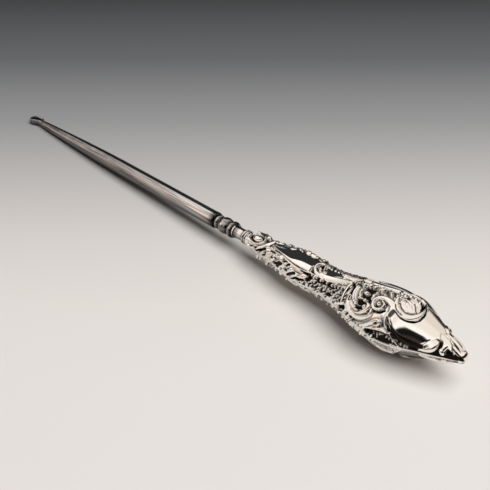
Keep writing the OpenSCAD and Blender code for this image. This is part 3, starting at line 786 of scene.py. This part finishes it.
def shell_grid():
    """Places of the grid on a shell: rows along the handle, closer on the nose, and columns round it."""
    nose = NOSE_X + NOSE_LEN * np.sin(np.linspace(0, NOSE_END, NOSE_ROWS + 1))[1:]
    x = np.concatenate([np.linspace(MOUTH_X, NOSE_X, ROWS), nose])
    bevel = np.minimum(BEVEL_H, BEVEL_H_SHARE * half_height(x)) * ease((NOSE_X - x) / SEAM_FADE)
    edge = np.degrees(np.arccos(np.clip(bevel / half_height(x), 0, 1)))
    turn = edge[:, None] * np.linspace(-1, 1, COLUMNS + 1)[None, :]
    return np.repeat(x[:, None], COLUMNS + 1, 1), turn


def skin(x, turn, height):
    """Points of the shell's outside: the plain oval, raised square to its surface."""
    a, b, t = half_width(x), half_height(x), np.radians(turn)
    ahead, behind = np.minimum(x + SLOPE_STEP, TIP_X), np.maximum(x - SLOPE_STEP, MOUTH_X)
    slope = (half_width(ahead) - half_width(behind)) / (2 * SLOPE_STEP)
    along = np.clip(-slope * oval_at(x), -STEEPEST, STEEPEST)
    out = np.stack([along, np.sin(t) * b / np.maximum(a, TINY), np.cos(t)], -1)
    out /= np.linalg.norm(out, axis=-1, keepdims=True)
    return np.stack([x, a * np.sin(t), b * np.cos(t)], -1) + height[..., None] * out


def lining_points(row_x, a, b):
    """Points of the plain inside of a shell, from its far edge to its near one."""
    t = np.radians(np.linspace(90, -90, LINING_COLUMNS + 1))[None, :]
    gap = np.minimum(SHEET, SHEET_SHARE * a)
    x = np.repeat(MOUTH_X + (row_x - MOUTH_X) * (1 - SHEET / HANDLE_LEN), LINING_COLUMNS + 1)
    y = (a - gap)[:, None] * np.sin(t)
    z = (b - gap * oval_at(row_x))[:, None] * np.cos(t)
    return np.stack([x.reshape(y.shape), y, z], -1)


def shell_loops(mirror):
    """Points of a shell in loops round its wall, one loop per row of the grid, and the tarnish and painted
    dark reflections on them.
    """
    x, turn = shell_grid()
    height, tarnish_and_painted_reflection = ornament(x, turn, *(BACK_BOSS if mirror else FRONT_BOSS))
    row_x = x[:, 0]
    a, b = half_width(row_x), half_height(row_x)
    bevel = np.minimum(BEVEL_DEPTH, BEVEL_DEPTH_SHARE * a) * ease((NOSE_X - row_x) / SEAM_FADE)
    far_edge = np.stack([row_x, a - bevel, 0 * row_x], -1)[:, None]
    near_edge = far_edge * [1, -1, 1]
    loops = np.concatenate([skin(x, turn, height), far_edge, lining_points(row_x, a, b), near_edge], axis=1)
    marks = np.zeros(loops.shape[:2])
    marks[:, : COLUMNS + 1] = tarnish_and_painted_reflection
    return loops * [1, 1, -1 if mirror else 1], marks


def loop_faces(rows, around, mirror):
    """Faces between neighbouring loops, and one face over each end."""
    index = np.arange(rows * around).reshape(rows, around)
    ahead = np.roll(index, -1, axis=1)
    quads = np.stack([index[:-1], index[1:], ahead[1:], ahead[:-1]], -1).reshape(-1, 4)
    faces = [*quads.tolist(), index[0].tolist(), index[-1, ::-1].tolist()]
    return [face[::-1] for face in faces] if mirror else faces


def add_object(name, data):
    """Puts a mesh, a camera or a lamp into the scene."""
    thing = bpy.data.objects.new(name, data)
    bpy.context.scene.collection.objects.link(thing)
    return thing


def build_shell(name, mirror):
    """A closed shell: ornamented outside, bevelled seam edges and a plain lining."""
    loops, tarnish_and_painted_reflection = shell_loops(mirror)
    mesh = bpy.data.meshes.new(name)
    mesh.from_pydata(to_row(loops.reshape(-1, 3)).tolist(), [], loop_faces(*tarnish_and_painted_reflection.shape, mirror))
    layer = mesh.attributes.new("tarnish_and_painted_reflection", "FLOAT", "POINT")
    layer.data.foreach_set("value", tarnish_and_painted_reflection.reshape(-1).astype(np.float32))
    mesh.polygons.foreach_set("use_smooth", [True] * len(mesh.polygons))
    mesh.update()
    return add_object(name, mesh)


def new_material(name):
    material = bpy.data.materials.new(name)
    material.use_nodes = True
    tree = material.node_tree
    return material, tree, tree.nodes["Principled BSDF"]


def reach_along(tree, place, direction):
    """How far a place lies along a direction."""
    node = tree.nodes.new("ShaderNodeVectorMath")
    node.operation = "DOT_PRODUCT"
    node.inputs[1].default_value = direction
    tree.links.new(place, node.inputs[0])
    return node.outputs["Value"]


def in_range(tree, value, source, target=(0, 1), interpolation="LINEAR"):
    """Takes a value from one range to another, and holds it at the ends."""
    node = tree.nodes.new("ShaderNodeMapRange")
    node.interpolation_type = interpolation
    for name, limit in zip(("From Min", "From Max", "To Min", "To Max"), (*source, *target)):
        node.inputs[name].default_value = limit
    tree.links.new(value, node.inputs["Value"])
    return node.outputs["Result"]


def joined(tree, operation, first, second):
    """Two values put together by the given operation."""
    node = tree.nodes.new("ShaderNodeMath")
    node.operation = operation
    tree.links.new(first, node.inputs[0])
    tree.links.new(second, node.inputs[1])
    return node.outputs["Value"]


def colour_ramp(tree, value, stops):
    """Colour for a value: the stops are places from 0 to 1, each with its colour."""
    node = tree.nodes.new("ShaderNodeValToRGB")
    elements = node.color_ramp.elements
    for element, (at, tone) in zip(elements, (stops[0], stops[-1])):
        element.position = at
        element.color = (*tone, 1)
    for at, tone in stops[1:-1]:
        elements.new(at).color = (*tone, 1)
    tree.links.new(value, node.inputs["Fac"])
    return node.outputs["Color"]


def colour_mix(tree, factor, first, second):
    """Blend of two colours. Each is a plain colour or another node's."""
    node = tree.nodes.new("ShaderNodeMix")
    node.data_type = "RGBA"
    tree.links.new(factor, node.inputs["Factor"])
    for name, colour in (("A", first), ("B", second)):
        if isinstance(colour, tuple):
            node.inputs[name].default_value = (*colour, 1)
        else:
            tree.links.new(colour, node.inputs[name])
    return node.outputs["Result"]


SILVER = (0.97, 0.935, 0.885)
SILVER_ROUGHNESS = 0.05
# Near-black of the tarnish, also used for the dark reflections painted on raised work
TARNISH_AND_PAINTED_REFLECTION = (0.012, 0.01, 0.008)
TARNISH_ROUGHNESS = 0.35


def silver_material():
    """Polished silver that keeps a dark tarnish in its recesses, and painted dark reflections on some
    raised work.
    """
    material, tree, shader = new_material("silver")
    shader.inputs["Metallic"].default_value = 1.0
    mark = tree.nodes.new("ShaderNodeAttribute")
    mark.attribute_name = "tarnish_and_painted_reflection"
    colour = colour_ramp(tree, mark.outputs["Fac"], [(0, SILVER), (1, TARNISH_AND_PAINTED_REFLECTION)])
    tree.links.new(colour, shader.inputs["Base Color"])
    roughness = in_range(tree, mark.outputs["Fac"], (0, 1), (SILVER_ROUGHNESS, TARNISH_ROUGHNESS))
    tree.links.new(roughness, shader.inputs["Roughness"])
    return material


SOLDER = (0.88, 0.85, 0.80)
SOLDER_ROUGHNESS = 0.25
FILING_GRAIN = 900
FILING_STRENGTH = 0.04
FILING_DEPTH = 0.0002


def solder_material():
    """Filed solder of the seam."""
    material, tree, shader = new_material("solder")
    shader.inputs["Metallic"].default_value = 1.0
    shader.inputs["Base Color"].default_value = (*SOLDER, 1)
    shader.inputs["Roughness"].default_value = SOLDER_ROUGHNESS
    noise = tree.nodes.new("ShaderNodeTexNoise")
    noise.inputs["Scale"].default_value = FILING_GRAIN
    bump = tree.nodes.new("ShaderNodeBump")
    bump.inputs["Strength"].default_value = FILING_STRENGTH
    bump.inputs["Distance"].default_value = FILING_DEPTH
    tree.links.new(noise.outputs["Fac"], bump.inputs["Height"])
    tree.links.new(bump.outputs["Normal"], shader.inputs["Normal"])
    return material


# Tones of the turned metal: millimetres along the axis from the bolster's crest, and the grey there.
# Besides the metal's own grey they hold painted highlights (the bright bands, and the rod's brightening
# towards the moulding) and painted shade (the near-black bands in the grooves)
ROD_TONES_AND_PAINTED_LIGHT = [(-115, 0.3), (-100, 0.31), (-55, 0.38), (-12, 0.55), (-9.8, 0.5), (-8.7, 0.2), (-8.0, 0.1)]
RING_TONES_AND_PAINTED_LIGHT = [(-7.3, 0.01), (-6.9, 0.1), (-6.4, 0.75), (-5.9, 0.2)]
BEAD_TONES_AND_PAINTED_LIGHT = [(-5.6, 0.01), (-5.1, 0.2), (-3.6, 0.5), (-2.0, 0.25)]
BOLSTER_TONES_AND_PAINTED_LIGHT = [(-1.5, 0.01), (-1.1, 0.05), (-0.5, 0.7), (0.1, 0.5), (0.5, 0.06), (1.1, 0.02)]
STEEL_TONES_AND_PAINTED_LIGHT = ROD_TONES_AND_PAINTED_LIGHT + RING_TONES_AND_PAINTED_LIGHT + BEAD_TONES_AND_PAINTED_LIGHT + BOLSTER_TONES_AND_PAINTED_LIGHT
STEEL_TINT = (1, 0.965, 0.94)
STEEL_ROUGHNESS = 0.15
STEEL_STREAK = 0.55
RIM_TONES_AND_PAINTED_LIGHT = [(1.1, 0.8), (1.5, 0.8), (1.65, 0.04)]
THROAT_TONES_AND_PAINTED_LIGHT = [(2.0, 0.3), (2.8, 0.35), (3.6, 0.9), (4.5, 0.9), (5.0, 0.5)]
DOUBLE_BEAD_TONES_AND_PAINTED_LIGHT = [(5.2, 0.04), (5.5, 0.8), (6.1, 0.8), (6.3, 0.04), (6.5, 0.8), (7.0, 0.8), (7.25, 0.04)]
FERRULE_TONES_AND_PAINTED_LIGHT = RIM_TONES_AND_PAINTED_LIGHT + THROAT_TONES_AND_PAINTED_LIGHT + DOUBLE_BEAD_TONES_AND_PAINTED_LIGHT
FERRULE_TINT = (1, 0.97, 0.93)
FERRULE_ROUGHNESS = 0.08
FERRULE_STREAK = 0.1

# Painted shade on the underside: upward part of the normal, and the share of the tone that it gets
UNDERSIDE_SHADE_FACING = (-0.3, 0.6)
UNDERSIDE_SHADE_SHARE = (0.25, 1)

# Polishing streaks: how often they change along and across the axis, per metre, and the noise they use
STREAK_GRAIN = (70, 1900, 1900)
STREAK_NOISE = (0.3, 0.7)


def streaks(tree, place, depth):
    """Fine lines of the polish along the tool's axis, as a factor around 1."""
    level = tree.nodes.new("ShaderNodeVectorRotate")
    level.rotation_type = "Y_AXIS"
    level.inputs["Angle"].default_value = math.atan2(AXIS[2], AXIS[0])
    tree.links.new(place, level.inputs["Vector"])
    stretch = tree.nodes.new("ShaderNodeVectorMath")
    stretch.operation = "MULTIPLY"
    stretch.inputs[1].default_value = STREAK_GRAIN
    tree.links.new(level.outputs["Vector"], stretch.inputs[0])
    noise = tree.nodes.new("ShaderNodeTexNoise")
    noise.inputs["Scale"].default_value = 1
    tree.links.new(stretch.outputs["Vector"], noise.inputs["Vector"])
    return in_range(tree, noise.outputs["Fac"], STREAK_NOISE, (1 - depth, 1 + depth))


def turned_metal(name, tones, tint, roughness, streak):
    """Streaky polished metal with tones along the tool's axis that carry painted highlights, and painted
    shade in the grooves and underneath.
    """
    material, tree, shader = new_material(name)
    shader.inputs["Metallic"].default_value = 1.0
    shader.inputs["Roughness"].default_value = roughness
    where = tree.nodes.new("ShaderNodeTexCoord")
    low, high = tones[0][0], tones[-1][0]
    limits = [(BOLSTER @ AXIS + end) * MM for end in (low, high)]
    along = in_range(tree, reach_along(tree, where.outputs["Object"], AXIS), limits)
    stops = [((x - low) / (high - low), [grey * part for part in tint]) for x, grey in tones]
    # The ramp along the axis holds the metal's grey with painted highlights and painted shade in the
    # grooves
    tone = colour_ramp(tree, along, stops)
    facing = tree.nodes.new("ShaderNodeSeparateXYZ")
    tree.links.new(where.outputs["Normal"], facing.inputs[0])
    # Painted shade: the tone falls where the normal turns downward
    painted_underside_shade = in_range(tree, facing.outputs["Z"], UNDERSIDE_SHADE_FACING, UNDERSIDE_SHADE_SHARE)
    streak_factor = streaks(tree, where.outputs["Object"], streak)
    shade = tree.nodes.new("ShaderNodeVectorMath")
    shade.operation = "SCALE"
    tree.links.new(tone, shade.inputs[0])
    tree.links.new(joined(tree, "MULTIPLY", painted_underside_shade, streak_factor), shade.inputs["Scale"])
    tree.links.new(shade.outputs["Vector"], shader.inputs["Base Color"])
    return material


CEMENT = (0.3, 0.17, 0.1)
CEMENT_ROUGHNESS = 0.9


def cement_material():
    """Dull resin cement of the core, hidden inside the shells."""
    material, _, shader = new_material("cement")
    shader.inputs["Base Color"].default_value = (*CEMENT, 1)
    shader.inputs["Roughness"].default_value = CEMENT_ROUGHNESS
    return material


def dress(piece, material):
    piece.data.materials.clear()
    piece.data.materials.append(material)


def build_object():
    """Fine shells in place of the plain ones, and a material on every other piece."""
    silver = silver_material()
    for name, node, mirror in (("front_relief", "front_shell", False), ("back_relief", "back_shell", True)):
        shell = build_shell(name, mirror)
        dress(shell, silver)
        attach(shell, "root")
        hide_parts(node)
    steel = turned_metal("steel", STEEL_TONES_AND_PAINTED_LIGHT, STEEL_TINT, STEEL_ROUGHNESS, STEEL_STREAK)
    ferrule = turned_metal("ferrule_silver", FERRULE_TONES_AND_PAINTED_LIGHT, FERRULE_TINT, FERRULE_ROUGHNESS, FERRULE_STREAK)
    dress(frame["nodes"]["shank"], steel)
    dress(frame["nodes"]["crook"], steel)
    dress(frame["nodes"]["ferrule"], ferrule)
    dress(frame["nodes"]["seam_solder"], solder_material())
    dress(frame["nodes"]["cement_core"], cement_material())


# Camera as in the photo: its place in millimetres of the row's frame, and the direction it looks from
CAMERA_AT = (204.65, -168.84, 174.83)
CAMERA_AZIMUTH = math.radians(47.76)
CAMERA_ELEVATION = math.radians(34.3)
CAMERA_CLIP = 0.01
FOCAL_PIXELS = 1000
IMAGE_PIXELS = 490
SENSOR_MM = 36
AWAY = (-math.sin(CAMERA_AZIMUTH), math.cos(CAMERA_AZIMUTH), 0)


def build_camera():
    data = bpy.data.cameras.new("camera")
    data.sensor_width = SENSOR_MM
    data.lens = SENSOR_MM * FOCAL_PIXELS / IMAGE_PIXELS
    data.clip_start = CAMERA_CLIP
    camera = add_object("camera", data)
    camera.location = [c * MM for c in CAMERA_AT]
    ahead = Vector(AWAY) * math.cos(CAMERA_ELEVATION) - Vector((0, 0, math.sin(CAMERA_ELEVATION)))
    camera.rotation_euler = ahead.to_track_quat("-Z", "Y").to_euler()
    bpy.context.scene.camera = camera


# Floor: half its size in metres, how far its tones run from the middle, in millimetres, and the tones
# there, whose fall to dark grey is a painted falloff of the light
FLOOR_SIZE = 3.0
FLOOR_ROUGHNESS = 0.8
FLOOR_GLOSS = 0.2
FLOOR_NEAR = -100
FLOOR_FAR = 200
FLOOR_TONES_AND_PAINTED_FALLOFF = [
    (0.0, (0.763, 0.726, 0.695)),
    (0.1, (0.765, 0.728, 0.69)),
    (0.2, (0.755, 0.715, 0.675)),
    (0.31, (0.684, 0.647, 0.612)),
    (0.43, (0.53, 0.505, 0.49)),
    (0.58, (0.313, 0.313, 0.313)),
    (0.77, (0.138, 0.141, 0.147)),
    (1.0, (0.055, 0.0575, 0.059)),
]


def build_floor():
    """Pale sheet whose colour falls off to dark grey away from the camera: a painted falloff of the light.
    """
    mesh = bpy.data.meshes.new("floor")
    corners = [(x * FLOOR_SIZE, y * FLOOR_SIZE, 0) for x, y in ((-1, -1), (1, -1), (1, 1), (-1, 1))]
    mesh.from_pydata(corners, [], [(0, 1, 2, 3)])
    floor = add_object("floor", mesh)
    material, tree, shader = new_material("floor")
    shader.inputs["Roughness"].default_value = FLOOR_ROUGHNESS
    shader.inputs["Specular IOR Level"].default_value = FLOOR_GLOSS
    where = tree.nodes.new("ShaderNodeNewGeometry")
    away = reach_along(tree, where.outputs["Position"], AWAY)
    share = in_range(tree, away, (FLOOR_NEAR * MM, FLOOR_FAR * MM))
    tree.links.new(colour_ramp(tree, share, FLOOR_TONES_AND_PAINTED_FALLOFF), shader.inputs["Base Color"])
    dress(floor, material)


# Surroundings seen in the metal, from the horizon up to straight overhead
ROOM_TONES = [
    (0.0, (0.02, 0.02, 0.02)),
    (0.25, (0.04, 0.04, 0.04)),
    (0.38, (0.12, 0.118, 0.115)),
    (0.5, (0.42, 0.405, 0.38)),
    (0.59, (1.03, 1.0, 0.97)),
    (0.74, (1.04, 1.02, 0.98)),
    (0.92, (0.9, 0.83, 0.76)),
]

# The same towards FRONT_SIDE, beyond the handle's tip, where the black stands higher. Its tones go by the
# height or by the reach along FRONT_EDGE, whichever is more, so the black's edge slants
FRONT_TONES = [
    (0.0, (0.02, 0.017, 0.015)),
    (0.42, (0.05, 0.034, 0.028)),
    (0.55, (0.006, 0.006, 0.006)),
    (0.70, (0.012, 0.012, 0.012)),
    (0.76, (1.03, 1.0, 0.96)),
    (0.85, (1.04, 1.02, 0.98)),
    (0.95, (0.9, 0.83, 0.76)),
]
FRONT_SIDE = (0.94, -0.342, 0)
FRONT_FADE = (0.10, 0.24)
FRONT_EDGE = (-1.08, -0.55, 0.88)

# Round patches over both: direction and tone, and the reach along it where they begin and are full
WARM_PATCH = (-0.718, -0.624, 0.309), (1.05, 0.86, 0.76), (0.92, 0.99)
PALE_PATCH = (0.047, 0.667, 0.743), (0.78, 0.71, 0.64), (0.87, 0.97)
DARK_PATCH = (-0.61, 0.647, 0.453), (0.03, 0.03, 0.03), (0.87, 0.93)
AMBIENT = (0.10, 0.10, 0.10)


def build_room():
    """What the metal shows, dark below and white above, and a little even light for the rest."""
    world = bpy.data.worlds.new("studio")
    world.use_nodes = True
    bpy.context.scene.world = world
    tree = world.node_tree
    where = tree.nodes.new("ShaderNodeTexCoord").outputs["Generated"]
    split = tree.nodes.new("ShaderNodeSeparateXYZ")
    tree.links.new(where, split.inputs[0])
    room = colour_ramp(tree, split.outputs["Z"], ROOM_TONES)
    above = joined(tree, "MAXIMUM", split.outputs["Z"], reach_along(tree, where, FRONT_EDGE))
    front = colour_ramp(tree, above, FRONT_TONES)
    turn = in_range(tree, reach_along(tree, where, FRONT_SIDE), FRONT_FADE, interpolation="SMOOTHSTEP")
    tones = colour_mix(tree, turn, room, front)
    for direction, tone, limits in (WARM_PATCH, PALE_PATCH, DARK_PATCH):
        patch = in_range(tree, reach_along(tree, where, direction), limits, interpolation="SMOOTHSTEP")
        tones = colour_mix(tree, patch, tones, tone)
    ray = tree.nodes.new("ShaderNodeLightPath")
    seen = colour_mix(tree, ray.outputs["Is Glossy Ray"], AMBIENT, tones)
    tree.links.new(seen, tree.nodes["Background"].inputs["Color"])


# Lamp: place and size in metres, power in watts
LAMP_AT = (0.92, 0.06, 1.76)
LAMP_SIZE = 1.7
LAMP_POWER = 49.6


def build_lamp():
    """One wide soft lamp overhead, towards the handle's tip. The metal shows the room in its place."""
    data = bpy.data.lights.new("overhead", "AREA")
    data.size = LAMP_SIZE
    data.energy = LAMP_POWER
    lamp = add_object("overhead", data)
    lamp.location = LAMP_AT
    lamp.rotation_euler = (-Vector(LAMP_AT)).to_track_quat("-Z", "Y").to_euler()
    lamp.visible_glossy = False


build_object()
build_camera()
build_floor()
build_room()
build_lamp()
bpy.context.scene.view_settings.view_transform = "Standard"
